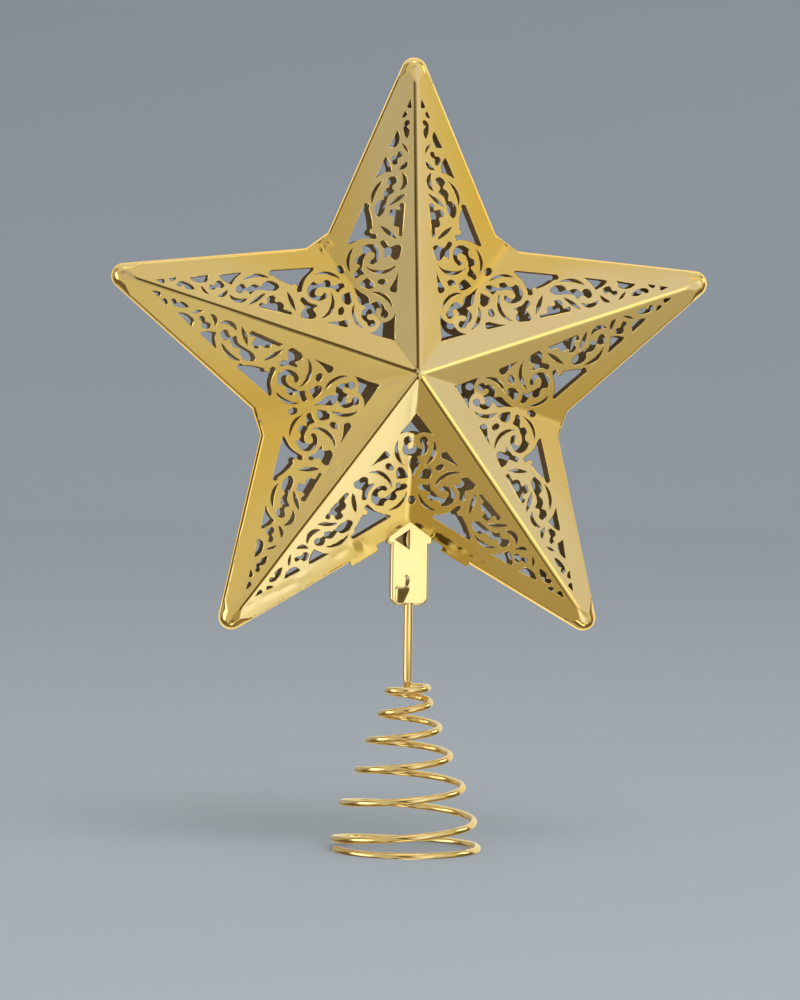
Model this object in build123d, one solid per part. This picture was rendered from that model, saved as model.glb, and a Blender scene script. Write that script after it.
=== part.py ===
from build123d import *
import math
import os

# Star: two dished half-shells of pierced sheet, front facing -Y, on a stem along Z.
tip_reach = 111.0  # centre to the point where an arm's two edges would meet
corner_reach = 51.2  # centre to the sharp inner corner between two arms
web_reach = 54.0  # centre to the short flat web across that corner
tip_radius = 3.8
ridge_radius = 3.0
crown_rise = 20.0  # height of the star's middle above its rim
flange_depth = 3.0  # side wall of one half-shell, rim to seam
sheet = 0.5
seam_gap = 0.5  # between the two flanges
back_proud = 0.5  # the back half is a little larger all round
star_height = 160.6  # star centre above the coil's foot

# Fold-over tabs
edge_tab_length = 10.5
edge_tab_reach = 1.9
edge_tab_gap = 2.6  # between a tab and the bracket's ear
notch_rise = 1.4  # the lowest corner is cut this much deeper than the others
notch_run = 10.8  # along an arm's edge, where that cut starts
corner_tab_width = 3.4
corner_tab_rise = 1.8
tab_clearance = 0.4

# Stem bracket: two pressed leaves that close round the stem tube.
tongue_width = 12.7
tongue_bottom = 82.7
tongue_corner = 2.8
tongue_edge = 0.9  # rounding of the leaf's front edges
ear_width = 15.5
ear_bottom = 103.2
leaf_depth = 2.3  # seam to outer face
leaf_sheet = 0.6
wing_width = 25.0
wing_height = 3.2
leaf_above_corner = 3.4  # leaf's top edge above the star's lowest inner corner
seat_clearance = 0.2
window_height = 6.6
window_width = 4.9
window_below_corner = 1.2
arch_radius = 3.2  # arch in the leaf's lower edge, over the tube
arch_rise = 0.8

# Stem tube and tree coil
tube_diameter = 3.0
tube_foot = 57.3
wire_diameter = 2.4
running_clearance = 0.05
end_gap = 0.1
tail_insert = 25.0  # length of the coil's upright tail inside the tube
foot_flat = 0.5  # depth of the flat under the lowest turn
turn_radii = [6.4, 8.7, 12.7, 16.2, 21.4, 24.2]  # hand-wound: wire centre on each turn's left, top to base
top_pitch = 7.3
turn_gap = 0.7  # between the base turn's end and the turn above it
bend_radius = 2.6
loop_drop = 0.8  # fall of the first small loop
loop_lean = 0.7  # the first loop stands out further on its right
end_share = 0.02  # part of a turn that the base turn stops short of closing

fifth = 72.0
half_sector = 36.0

# Plan of one half arm: ridge along +X, valley at 36 degrees, height along +Z.
corner_x = corner_reach * math.cos(math.radians(half_sector))
corner_y = corner_reach * math.sin(math.radians(half_sector))
edge_angle = math.atan2(corner_y, tip_reach - corner_x)
crown = flange_depth + crown_rise
ridge_fall = crown_rise / tip_reach
facet_fall = (crown_rise - ridge_fall * corner_x) / corner_y
sheet_rise = sheet * math.sqrt(1 + ridge_fall**2 + facet_fall**2)


def edge_point(along, out=0.0):
    """Point on an arm's straight edge, measured from the inner corner."""
    return (
        corner_x + along * math.cos(edge_angle) + out * math.sin(edge_angle),
        corner_y - along * math.sin(edge_angle) + out * math.cos(edge_angle),
    )


def polar(reach, degrees):
    return (reach * math.cos(math.radians(degrees)), reach * math.sin(math.radians(degrees)))


def half_arm_plan(grow):
    """Plan of a half arm, with its rim moved outwards by grow."""
    radius = tip_radius + grow
    centre = tip_reach - tip_radius / math.sin(edge_angle)
    tangent = (centre + radius * math.sin(edge_angle), radius * math.cos(edge_angle))
    middle_angle = (math.pi / 2 - edge_angle) / 2
    on_tip = (centre + radius * math.cos(middle_angle), radius * math.sin(middle_angle))
    web = web_reach + grow
    lean = math.radians(90 - half_sector) - edge_angle
    along = (web - corner_reach - grow * math.cos(lean)) / math.sin(lean)
    rim = [
        ThreePointArc((centre + radius, 0), on_tip, tangent),
        Line(tangent, edge_point(along, grow)),
        Line(edge_point(along, grow), polar(web, half_sector)),
        Line(polar(web, half_sector), (0, 0)),
        Line((0, 0), (centre + radius, 0)),
    ]
    return make_face(rim)


def under_roof(lowered):
    """Everything below an arm's two facets and its rounded ridge, lowered by some height."""
    slope = math.atan(facet_fall)
    start_y = ridge_radius * math.sin(slope)
    top = crown - lowered
    crest = top - facet_fall * start_y + ridge_radius * (1 - math.cos(slope))
    reach = 2 * corner_reach
    floor = -tip_reach
    low = top - facet_fall * reach
    side = Plane.YZ.offset(-tip_reach)
    lift = ridge_fall * tip_reach
    profile = [
        ThreePointArc((-start_y, top - facet_fall * start_y + lift), (0, crest + lift),
                      (start_y, top - facet_fall * start_y + lift)),
        Line((start_y, top - facet_fall * start_y + lift), (reach, low + lift)),
        Line((reach, low + lift), (reach, floor)),
        Line((reach, floor), (-reach, floor)),
        Line((-reach, floor), (-reach, low + lift)),
        Line((-reach, low + lift), (-start_y, top - facet_fall * start_y + lift)),
    ]
    along = Vector(1, 0, -ridge_fall).normalized()
    face = side * make_face(profile)
    return extrude(face, amount=3 * tip_reach, dir=along)


roof_top = under_roof(0)
roof_under = under_roof(sheet_rise)

# The ornament of one facet was drawn on a facet of this size, and is stretched to the real one.
drawn_tip = 111.0
drawn_corner_x = 41.42
drawn_corner_y = 30.09


def on_facet(point):
    stretch = tip_reach / drawn_tip
    lean = (corner_x - stretch * drawn_corner_x) / drawn_corner_y
    return (stretch * point[0] + lean * point[1], corner_y / drawn_corner_y * point[1])


def pierced(start, *runs):
    """Closed outline: a run of one point is a line, of two an arc through both, of more a curve."""
    edges = []
    here = on_facet(start)
    for run in runs:
        points = [on_facet(p) for p in run]
        if len(points) == 1:
            edges.append(Line(here, points[0]))
        elif len(points) == 2:
            edges.append(ThreePointArc(here, points[0], points[1]))
        else:
            edges.append(Spline(here, *points))
        here = points[-1]
    return make_face(edges)


def curl(*points):
    """Closed smooth outline."""
    return make_face(Spline(*[on_facet(p) for p in points], periodic=True))


def crescent(start, outer, end, inner):
    return pierced(start, [outer, end], [inner, start])


def bead(place, long_half, short_half, turn):
    spot = on_facet(place)
    return Pos(*spot) * Rot(0, 0, turn) * Ellipse(long_half, short_half).face()


def inner_motif():
    """Middle of the star: corner triangle, trefoil with its bud, and what frames them."""
    corner_triangle = pierced(
        (10.9, 7.92),
        [(19.6, 7.5)],
        [(17.3, 9.4), (16.6, 12.06)],
        [(16.6, 14.0)],
        [(10.9, 10.0)],
        [(10.9, 7.92)],
    )
    trefoil = pierced(
        (19.4, 14.1),
        [(20.6, 13.75), (21.6, 12.9), (21.1, 11.95), (20.4, 11.8), (19.6, 12.15)],
        [(18.5, 11.6), (18.2, 10.8), (18.7, 10.0), (19.6, 9.65), (20.5, 10.0), (21.0, 10.8)],
        [(22.6, 11.4), (23.4, 12.4), (23.6, 13.4), (23.2, 14.6), (22.7, 15.4)],
        [(23.4, 15.75), (24.6, 15.9), (25.6, 16.6), (26.3, 17.8), (27.3, 19.3), (28.8, 20.92)],
        [(28.0, 22.0)],
        [(19.0, 15.6)],
        [(19.4, 14.1)],
    )
    frame_arc = crescent((21.5, 8.3), (25.6, 10.3), (26.8, 14.9), (24.9, 11.0))
    ridge_drop = pierced(
        (33.7, 6.4), [(27.3, 6.85)], [(26.7, 7.7), (27.1, 8.8), (28.3, 9.05)], [(30.4, 7.75), (33.7, 6.4)]
    )
    oval = bead((30.2, 11.6), 1.4, 0.95, 90)
    petal = pierced(
        (29.2, 18.8), [(28.3, 17.2), (27.9, 15.4), (28.5, 14.4), (30.0, 14.7), (31.0, 15.6), (31.5, 16.4)],
        [(30.5, 17.7), (29.2, 18.8)],
    )
    valley_bead = bead((34.25, 24.88), 1.45, 1.1, half_sector)
    return [corner_triangle, trefoil, frame_arc, ridge_drop, oval, petal, valley_bead]


def scroll_motif():
    """Widest part of the facet: the C-scroll with its scalloped tail, and the edge triangle."""
    scroll_arc = crescent((35.9, 7.0), (32.9, 12.1), (35.2, 16.7), (33.95, 12.1))
    ridge_blob = curl(
        (37.6, 7.3), (38.3, 6.2), (40.2, 5.6), (42.1, 5.5), (42.5, 7.0), (41.8, 8.9), (43.0, 10.1),
        (44.1, 11.1), (43.5, 12.0), (41.8, 11.2), (39.6, 10.8), (38.0, 10.7), (39.1, 9.6), (38.4, 8.5),
    )
    c_scroll = pierced(
        (41.5, 18.2),
        [(42.5, 16.7), (42.8, 15.0), (42.1, 13.4), (40.9, 12.5), (39.3, 12.3), (37.6, 12.8), (36.5, 13.8)],
        [(36.1, 14.8), (36.5, 15.6), (37.1, 15.6), (37.4, 15.1)],
        [(37.9, 14.3), (38.9, 13.8), (39.9, 14.2), (40.2, 15.1), (39.9, 16.2), (39.0, 17.0), (37.8, 17.5),
         (36.3, 17.7), (34.9, 18.1)],
        [(33.9, 17.7), (32.9, 17.3), (32.4, 18.5), (31.4, 20.0), (31.8, 20.6), (33.2, 20.3), (34.7, 19.0)],
        [(35.9, 18.9), (36.2, 19.7), (37.2, 20.1), (38.2, 19.7), (38.9, 18.4), (40.1, 17.8), (41.5, 18.2)],
    )
    under_arc = crescent((33.3, 21.7), (37.4, 22.9), (41.8, 20.5), (37.3, 21.95))
    edge_triangle = pierced(
        (43.7, 22.3),
        [(42.8, 22.3), (42.9, 21.8), (44.2, 19.2), (44.7, 16.4), (44.6, 14.4)],
        [(45.4, 13.2), (46.1, 14.3)],
        [(46.9, 15.4), (48.2, 14.6)],
        [(51.5, 14.9), (55.0, 15.9)],
        [(56.5, 16.5), (55.9, 17.2)],
        [(43.7, 22.3)],
    )
    slanted_slot = crescent((44.5, 6.8), (47.25, 8.95), (49.0, 12.1), (46.25, 9.95))
    half_leaf = pierced(
        (45.5, 5.25),
        [(56.0, 4.3)],
        [(56.5, 5.1), (55.6, 5.8)],
        [(54.2, 5.9), (54.3, 7.0), (54.6, 7.9), (54.0, 8.8), (52.8, 9.2), (52.0, 8.8)],
        [(52.1, 8.0), (51.3, 7.5)],
        [(50.4, 7.8), (49.5, 7.9), (48.8, 7.4), (48.6, 6.5), (48.1, 5.95)],
        [(45.6, 6.05)],
        [(45.5, 5.25)],
    )
    return [scroll_arc, ridge_blob, c_scroll, under_arc, edge_triangle, slanted_slot, half_leaf]


def tip_motif():
    """Narrow end of the facet: the linked scroll, its arcs, and smaller and smaller cuts to the tip."""
    long_slot = crescent((59.7, 3.8), (57.9, 7.3), (55.5, 9.3), (57.4, 6.0))
    ridge_arc = crescent((60.8, 5.7), (63.6, 3.3), (66.8, 5.0), (63.7, 4.6))
    linked_scroll = curl(
        (52.0, 12.6), (53.2, 11.0), (55.9, 10.2), (58.4, 9.5), (59.5, 8.6), (60.4, 7.3), (61.4, 8.0),
        (62.8, 7.5), (63.9, 6.5), (65.2, 7.1), (65.2, 8.6), (63.4, 9.7), (62.0, 9.0), (61.1, 10.1),
        (59.6, 10.9), (57.7, 10.9), (57.3, 12.2), (55.8, 13.5), (53.4, 13.6),
    )
    edge_arc = crescent((56.1, 14.5), (60.7, 14.3), (64.0, 11.0), (60.0, 13.5))
    short_slot = crescent((67.9, 6.2), (68.2, 4.1), (70.5, 3.1), (69.4, 4.5))
    middle_triangle = pierced(
        (65.0, 13.3), [(66.4, 11.2), (67.2, 8.4)], [(69.4, 8.7), (71.9, 10.0)], [(70.9, 10.7)], [(65.0, 13.3)]
    )
    squiggle = curl(
        (69.4, 7.1), (70.2, 6.2), (71.4, 6.2), (72.3, 5.0), (73.7, 4.9), (73.8, 5.9), (72.5, 6.4),
        (72.2, 7.8), (71.1, 8.3), (70.0, 8.0),
    )
    thin_slot = crescent((73.3, 2.9), (75.2, 3.3), (76.6, 4.8), (74.9, 4.0))
    wedge = pierced((75.3, 8.9), [(75.3, 6.9)], [(77.6, 5.6), (80.8, 6.2)], [(75.3, 8.9)])
    comma = curl(
        (78.3, 3.0), (79.7, 2.4), (81.2, 2.4), (82.3, 3.2), (83.4, 2.2), (84.4, 2.6), (83.7, 3.8),
        (81.6, 4.2), (79.6, 3.9),
    )
    small_triangle = pierced((85.1, 4.8), [(85.6, 3.6), (86.6, 3.0)], [(87.4, 3.7)], [(85.1, 4.8)])
    last_drop = pierced((91.3, 1.9), [(88.9, 3.0)], [(88.4, 2.2), (89.0, 1.5)], [(91.3, 1.9)])
    return [
        long_slot, ridge_arc, linked_scroll, edge_arc, short_slot, middle_triangle, squiggle, thin_slot,
        wedge, comma, small_triangle, last_drop,
    ]


cuts = inner_motif() + scroll_motif() + tip_motif()
ornament = Part() + [extrude(face, amount=2 * crown) for face in cuts]


def half_arm(grow):
    """One pierced facet with its strip of side flange."""
    outside = extrude(half_arm_plan(grow), amount=2 * crown) & roof_top
    inside = extrude(half_arm_plan(grow - sheet), amount=2 * crown) & roof_under
    floor = Pos(0, 0, seam_gap / 2) * Box(
        4 * tip_reach, 4 * tip_reach, 2 * tip_reach, align=(Align.CENTER, Align.CENTER, Align.MAX)
    )
    return outside - inside - floor - ornament


def half_shell(grow):
    """A whole half-shell lying in plan: one facet mirrored to an arm, five arms round the middle."""
    facet = half_arm(grow)
    arm = facet + mirror(facet, about=Plane.XZ)
    arms = [Rot(0, 0, 90 + fifth * i) * arm for i in range(5)]
    return arms[0].fuse(*arms[1:])


def stand_up(shape):
    """From plan, front upwards, to upright with the front facing -Y."""
    return Pos(0, 0, star_height) * Rot(90, 0, 0) * shape


def arm_edge(degrees, mirrored, shape):
    if mirrored:
        shape = mirror(shape, about=Plane.XZ)
    return Rot(0, 0, degrees) * shape


lowest_corner = 270.0
web_corners = [54.0, 126.0, 198.0, 342.0]

# The lowest corner is left open as a V, with a slot in both flanges for the bracket.
notch_top = polar(corner_reach - notch_rise, half_sector)
half_notch = make_face(Polyline(
    notch_top, edge_point(notch_run), edge_point(2 * notch_run), polar(2 * corner_reach, half_sector), notch_top
))
notch_wall = extrude(half_notch, amount=2 * crown, both=True)
notch = arm_edge(lowest_corner - half_sector, False, notch_wall) + arm_edge(
    lowest_corner + half_sector, True, notch_wall
)
slot = Pos(0, -corner_reach, 0) * Box(
    ear_width + 2 * seat_clearance, ear_width, 2 * (leaf_depth + seat_clearance)
)

# Tabs on the two inner edges beside the bracket carry on the facets past the rim.
tip_lean = math.radians(90 - half_sector)
rim_fall = (tip_reach * math.sin(tip_lean) - corner_reach) / (tip_reach * math.cos(tip_lean))
rim_angle = math.atan(rim_fall)
tab_start = (ear_width / 2 + edge_tab_gap + edge_tab_reach * math.sin(rim_angle)) / math.cos(rim_angle)
tab_end = tab_start + edge_tab_length
tab_plan = make_face(Polyline(
    edge_point(tab_start, -sheet), edge_point(tab_start, edge_tab_reach),
    edge_point(tab_end, edge_tab_reach), edge_point(tab_end, -sheet), edge_point(tab_start, -sheet),
))
edge_tab = (extrude(tab_plan, amount=2 * crown) & roof_top) - roof_under
edge_tabs = [
    arm_edge(lowest_corner - half_sector, False, edge_tab),
    arm_edge(lowest_corner + half_sector, True, edge_tab),
]

front_plan = half_shell(0) - notch - slot
front_plan = front_plan.fuse(*edge_tabs)
for angle in web_corners:
    gap = Box(4 * sheet, corner_tab_width + 2 * tab_clearance, 2 * (corner_tab_rise + tab_clearance))
    front_plan -= Rot(0, 0, angle) * Pos(web_reach, 0, 0) * gap
front_shell = stand_up(front_plan)

back_plan = half_shell(back_proud) - notch - slot
outer_foot = (Align.MAX, Align.CENTER, Align.MAX)
for angle in web_corners:
    tab = Box(sheet, corner_tab_width, corner_tab_rise + seam_gap + sheet, align=outer_foot)
    tab += Pos(back_proud, 0, 0) * Box(sheet + back_proud, corner_tab_width, sheet, align=outer_foot)
    back_plan += Rot(0, 0, angle) * Pos(web_reach, 0, seam_gap / 2 + sheet) * tab
back_shell = stand_up(mirror(back_plan, about=Plane.XY))

# Bracket leaf: a shallow pan along the stem, with wings that rest on the flanges inside the star.
tube_radius = tube_diameter / 2
corner_z = star_height - corner_reach
leaf_top = corner_z + leaf_above_corner


def leaf_plan(inset):
    """Outline of the pan seen from the front, in X and Z."""
    tongue = tongue_width / 2 - inset
    ear = ear_width / 2 - inset
    bottom = tongue_bottom + inset
    return make_face(Polyline(
        (-tongue, bottom), (tongue, bottom), (tongue, ear_bottom + inset), (ear, ear_bottom + inset),
        (ear, leaf_top - inset), (-ear, leaf_top - inset), (-ear, ear_bottom + inset),
        (-tongue, ear_bottom + inset), (-tongue, bottom),
    ))


def wing_bottom(x):
    """Just above the flange that the wing rests on."""
    return corner_z - rim_fall * x + (sheet + seat_clearance) / math.cos(rim_angle)


def wing():
    start = ear_width / 2 - tongue_edge
    end = wing_width / 2
    plan = make_face(Polyline(
        (start, wing_bottom(start)), (end, wing_bottom(end)), (end, wing_bottom(end) + wing_height),
        (start, wing_bottom(start) + wing_height), (start, wing_bottom(start)),
    ))
    return Pos(0, leaf_sheet - leaf_depth, 0) * extrude(Plane.XZ * plan, amount=leaf_sheet)


def bottom_corners(shape):
    return shape.edges().filter_by(Axis.Y).group_by(Axis.Z)[0]


def saddle(height):
    """Cross web that guides the stem tube."""
    depth = leaf_depth - leaf_sheet
    return Pos(0, -leaf_depth / 2, height) * Box(tongue_width - leaf_sheet, depth, leaf_sheet)


def leaf():
    """Front leaf: outer face towards -Y, open side at the seam."""
    pan = extrude(Plane.XZ * leaf_plan(0), amount=leaf_depth)
    pan = fillet(bottom_corners(pan), tongue_corner)
    pan = fillet(pan.faces().sort_by(Axis.Y)[0].edges(), tongue_edge)
    hollow = extrude(Plane.XZ * leaf_plan(leaf_sheet), amount=leaf_depth - leaf_sheet)
    hollow = fillet(bottom_corners(hollow), tongue_corner - leaf_sheet)
    tray = pan - hollow + saddle(ear_bottom) + saddle(tongue_bottom + tongue_corner) + wing()
    tray += mirror(wing(), about=Plane.YZ)
    bore = Cylinder(
        tube_radius + running_clearance, leaf_top - leaf_sheet - tongue_bottom + tongue_corner,
        align=(Align.CENTER, Align.CENTER, Align.MAX),
    )
    arch = Rot(90, 0, 0) * Cylinder(arch_radius, 3 * leaf_depth)
    arch_z = tongue_bottom + arch_rise - arch_radius
    return tray - Pos(0, 0, leaf_top - leaf_sheet) * bore - Pos(0, 0, arch_z) * arch


window_top = corner_z - window_below_corner
window = extrude(
    Plane.XZ * make_face(Polyline(
        (0, window_top), (0, window_top - window_height), (-window_width, window_top - window_height / 2),
        (0, window_top),
    )),
    amount=2 * leaf_depth,
)
bracket_front_leaf = leaf() - window
bracket_back_leaf = mirror(leaf(), about=Plane.XZ)

# Stem tube, its top end against the bracket's closed top.
tube_top = leaf_top - leaf_sheet - end_gap
tube_length = tube_top - tube_foot
upright = (Align.CENTER, Align.CENTER, Align.MIN)
tube_bore = wire_diameter / 2 + running_clearance
stem_tube = Pos(0, 0, tube_foot) * (
    Cylinder(tube_radius, tube_length, align=upright) - Cylinder(tube_bore, tube_length, align=upright)
)

# Tree coil: one wire, from its upright tail round a first small loop and down a widening cone.
wire_radius = wire_diameter / 2
top_loop_radius = turn_radii[0]
base_radius = turn_radii[-1]
coil_turns = len(turn_radii) - 1
base_z = wire_radius - foot_flat
tail_top = tube_foot + tail_insert
tail_foot = tube_foot - end_gap
loop_z = tail_foot - bend_radius
cone_top = loop_z - loop_drop
cone_foot = base_z + wire_diameter + turn_gap
pitch_gain = 2 * (cone_top - cone_foot - top_pitch * coil_turns) / coil_turns**2
last_turn = coil_turns + 1 - end_share


def coil_point(turn):
    """Wire centre after a number of turns from the first left-hand side, clockwise seen from above."""
    whole = min(max(math.floor(turn), 0), coil_turns - 1)
    share = min(turn - whole, 1)
    radius = turn_radii[whole] * (1 - share) + turn_radii[whole + 1] * share
    height = max(base_z, cone_top - top_pitch * turn - pitch_gain * turn**2 / 2)
    angle = math.pi - 2 * math.pi * turn
    return Vector(radius * math.cos(angle), radius * math.sin(angle), height)


def coil_heading(turn):
    step = 0.001
    if turn > coil_turns:
        angle = -math.pi / 2 - 2 * math.pi * turn + math.pi
        return Vector(math.cos(angle), math.sin(angle), 0)
    return (coil_point(turn + step) - coil_point(turn - step)).normalized()


def biarc(start, heading, end, end_heading):
    """Two tangent arcs from start to end."""
    across = end - start
    both = heading + end_heading
    bend = 2 * (1 - heading.dot(end_heading))
    pull = across.dot(both)
    reach = (math.sqrt(pull**2 + bend * across.dot(across)) - pull) / bend
    meet = (start + heading * reach + end - end_heading * reach) * 0.5
    first = TangentArc(start, meet, tangent=heading)
    return [first, TangentArc(meet, end, tangent=first % 1)]


loop_side = top_loop_radius + loop_lean
stations = [
    (Vector(0, 0, tail_foot), Vector(0, 0, -1)),
    (Vector(0, bend_radius, loop_z), Vector(0, 1, 0)),
    (Vector(loop_side / 2, bend_radius + loop_side / 2, loop_z), Vector(1, 0, 0)),
    (Vector(loop_side, bend_radius, loop_z), Vector(0, -1, 0)),
    (
        Vector(0, -top_loop_radius, loop_z - loop_drop / 3),
        Vector(-top_loop_radius, 0, -loop_drop / 3).normalized(),
    ),
]
quarters = 4 * coil_turns + 4
turns = [i / 4 for i in range(quarters)] + [last_turn]
stations += [(coil_point(turn), coil_heading(turn)) for turn in turns]
path = [Line((0, 0, tail_top), (0, 0, tail_foot))]
for (start, heading), (end, end_heading) in zip(stations, stations[1:]):
    path += biarc(start, heading, end, end_heading)
last_point, last_heading = stations[-1]
path.append(Line(last_point, last_point + last_heading * wire_diameter))
wire_section = Pos(0, 0, tail_top) * Circle(wire_radius)
tree_coil = sweep(wire_section, path=Wire(path))
below_foot = Box(
    4 * base_radius, 4 * base_radius, 2 * wire_diameter, align=(Align.CENTER, Align.CENTER, Align.MAX)
)
wire_length = sum(edge.length for edge in path)
swept_share = tree_coil.volume / (wire_length * math.pi * wire_radius**2)
tree_coil -= below_foot

# Least gap of the wire to itself, on points along its centre line.
samples = []
travelled = 0.0
for edge in path:
    count = max(2, round(edge.length / (wire_radius / 2)))
    samples += [(travelled + edge.length * i / count, edge @ (i / count)) for i in range(count)]
    travelled += edge.length
samples.append((travelled, path[-1] @ 1))
least_gap = min(
    (q - p).length - wire_diameter
    for i, (s, p) in enumerate(samples)
    for t, q in samples[i + 1:]
    if t - s > 2 * wire_diameter + math.pi * bend_radius
)
print(f"coil: wire {wire_length:.1f} mm, least gap to itself {least_gap:.2f} mm, swept share {swept_share:.4f}")

os.makedirs("parts", exist_ok=True)
for name, shape in [
    ("front_shell", front_shell),
    ("back_shell", back_shell),
    ("bracket_front_leaf", bracket_front_leaf),
    ("bracket_back_leaf", bracket_back_leaf),
    ("stem_tube", stem_tube),
    ("tree_coil", tree_coil),
]:
    export_step(shape, f"parts/{name}.step")
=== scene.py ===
import math
from functools import cache
import bmesh
import bpy
from mathutils import Matrix, Vector


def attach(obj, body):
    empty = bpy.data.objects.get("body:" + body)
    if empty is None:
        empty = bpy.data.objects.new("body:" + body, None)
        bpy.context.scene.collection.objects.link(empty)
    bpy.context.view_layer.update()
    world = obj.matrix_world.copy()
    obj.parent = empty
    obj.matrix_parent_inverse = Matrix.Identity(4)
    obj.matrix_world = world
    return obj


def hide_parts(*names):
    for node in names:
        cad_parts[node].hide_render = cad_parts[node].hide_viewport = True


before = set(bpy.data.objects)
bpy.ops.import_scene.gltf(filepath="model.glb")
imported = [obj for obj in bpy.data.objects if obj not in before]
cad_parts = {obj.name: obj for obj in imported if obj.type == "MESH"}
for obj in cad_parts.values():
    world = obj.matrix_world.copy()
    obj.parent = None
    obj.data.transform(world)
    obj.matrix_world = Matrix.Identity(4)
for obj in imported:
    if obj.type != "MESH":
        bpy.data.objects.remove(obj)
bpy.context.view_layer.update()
mm = 0.001
print("frame: loaded")


# Sockets with arithmetic, so that shader maths reads as plain expressions.
class Sock:
    def __init__(self, tree, out=None):
        self.tree = tree
        self.out = out

    def node(self, kind, settings=None, inputs=None, output=0):
        made = self.tree.nodes.new(kind)
        for key, value in (settings or {}).items():
            setattr(made, key, value)
        for key, value in (inputs or {}).items():
            if isinstance(value, Sock):
                self.tree.links.new(value.out, made.inputs[key])
            else:
                made.inputs[key].default_value = value
        return Sock(self.tree, made.outputs[output]) if made.outputs else None

    def maths(self, operation, *values):
        return self.node("ShaderNodeMath", {"operation": operation}, dict(enumerate(values)))

    def __add__(self, other):
        return self.maths("ADD", self, other)

    def __mul__(self, other):
        return self.maths("MULTIPLY", self, other)

    __radd__ = __add__
    __rmul__ = __mul__


def newTree(name):
    made = bpy.data.materials.new(name)
    made.use_nodes = True
    made.node_tree.nodes.clear()
    return made, Sock(made.node_tree)


def mixColour(tree, share, first, second):
    # inputs 6 and 7 are the colour pair of the Mix node, output 2 the mixed colour
    return tree.node("ShaderNodeMix", {"data_type": "RGBA"}, {0: share, 6: first, 7: second}, 2)


def noise(tree, where, scale, detail=2.0):
    return tree.node("ShaderNodeTexNoise", None, {"Vector": where, "Scale": scale, "Detail": detail})


def ramp(tree, value, low, high, fromLow=0.3, fromHigh=0.7):
    inputs = {"Value": value, "From Min": fromLow, "From Max": fromHigh, "To Min": low, "To Max": high}
    return tree.node("ShaderNodeMapRange", None, inputs)


# Gold plate: two shades in clouds, a satin bloom that comes and goes, and the slow waves of thin sheet.
def goldPlate(look):
    made, tree = newTree(look["name"])
    where = tree.node("ShaderNodeTexCoord", output=3)
    clouds = noise(tree, where, look["cloudScale"])
    haze = noise(tree, where, look["hazeScale"], 4.0)
    peel = noise(tree, where, look["peelScale"], 1.0)
    wave = noise(tree, where, look["waveScale"], 1.0)
    shade = mixColour(tree, ramp(tree, clouds, 0.0, 1.0), (*look["warm"], 1), (*look["pale"], 1))
    # the deep colour is painted shade at the inner corners, and the paler gold along the ridges a painted
    # sheen
    if "deep" in look:
        paintedSheen = tree.node("ShaderNodeAttribute", {"attribute_name": "paintedSheen"}, output=2)
        shade = mixColour(tree, paintedSheen, (*look["deep"], 1), shade)
    rough = ramp(tree, haze, look["polished"], look["satin"])
    height = wave * look["waveHeight"] + peel * look["peelHeight"]
    bump = tree.node("ShaderNodeBump", None, {"Strength": 1.0, "Distance": 1.0, "Height": height})
    gold = tree.node("ShaderNodeBsdfPrincipled", None, {
        "Base Color": shade, "Metallic": 1.0, "Roughness": rough, "Normal": bump,
    })
    tree.node("ShaderNodeOutputMaterial", None, {"Surface": gold})
    return made


starGold = {
    "name": "polishedStarGold",
    "warm": (0.90, 0.63, 0.205),
    "pale": (0.92, 0.68, 0.25),
    "deep": (0.90, 0.59, 0.13),  # painted shade: a deeper gold at the inner corners
    "cloudScale": 22.0,
    "hazeScale": 60.0,
    "polished": 0.06,
    "satin": 0.12,
    "waveScale": 30.0,
    "waveHeight": 0.15 * mm,
    "peelScale": 900.0,
    "peelHeight": 0.003 * mm,
}
# the insides of the sheets: rougher gold, with a dark base colour as painted shade inside the hollow star and
# between the leaves
insideGold = {
    "name": "unpolishedGoldWithPaintedShade",
    "warm": (0.34, 0.24, 0.12),
    "pale": (0.42, 0.31, 0.16),
    "cloudScale": 40.0,
    "hazeScale": 120.0,
    "polished": 0.34,
    "satin": 0.46,
    "waveScale": 40.0,
    "waveHeight": 0.1 * mm,
    "peelScale": 900.0,
    "peelHeight": 0.004 * mm,
}
bracketGold = {
    "name": "paleBracketGold",
    "warm": (0.95, 0.74, 0.33),
    "pale": (0.97, 0.80, 0.42),
    "cloudScale": 60.0,
    "hazeScale": 150.0,
    "polished": 0.08,
    "satin": 0.14,
    "waveScale": 90.0,
    "waveHeight": 0.05 * mm,
    "peelScale": 1400.0,
    "peelHeight": 0.002 * mm,
}
wireGold = {
    "name": "brightWireGold",
    "warm": (0.88, 0.62, 0.22),
    "pale": (0.92, 0.70, 0.31),
    "cloudScale": 60.0,
    "hazeScale": 180.0,
    "polished": 0.05,
    "satin": 0.10,
    "waveScale": 160.0,
    "waveHeight": 0.03 * mm,
    "peelScale": 1600.0,
    "peelHeight": 0.002 * mm,
}
polishedStarGold = goldPlate(starGold)
unpolishedGoldWithPaintedShade = goldPlate(insideGold)
paleBracketGold = goldPlate(bracketGold)
brightWireGold = goldPlate(wireGold)
print("materials: made")


def addPiece(name, bm, body, node, materials):
    mesh = bpy.data.meshes.new(name)
    bm.to_mesh(mesh)
    bm.free()
    piece = bpy.data.objects.new(name, mesh)
    bpy.context.scene.collection.objects.link(piece)
    for material in materials:
        mesh.materials.append(material)
    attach(piece, body)
    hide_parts(node)
    print(f"{name}: {len(mesh.polygons)} faces")
    return piece


def copyOfNode(node):
    bm = bmesh.new()
    bm.from_mesh(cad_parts[node].data)
    bmesh.ops.remove_doubles(bm, verts=bm.verts, dist=0.03 * mm)
    return bm


def smoothUpTo(bm, degrees):
    for face in bm.faces:
        face.smooth = True
    for edge in bm.edges:
        edge.smooth = len(edge.link_faces) == 2 and edge.calc_face_angle(0) < math.radians(degrees)


def heightOf(face):
    heights = [v.co.y for v in face.verts]
    return max(heights) - min(heights)


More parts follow.
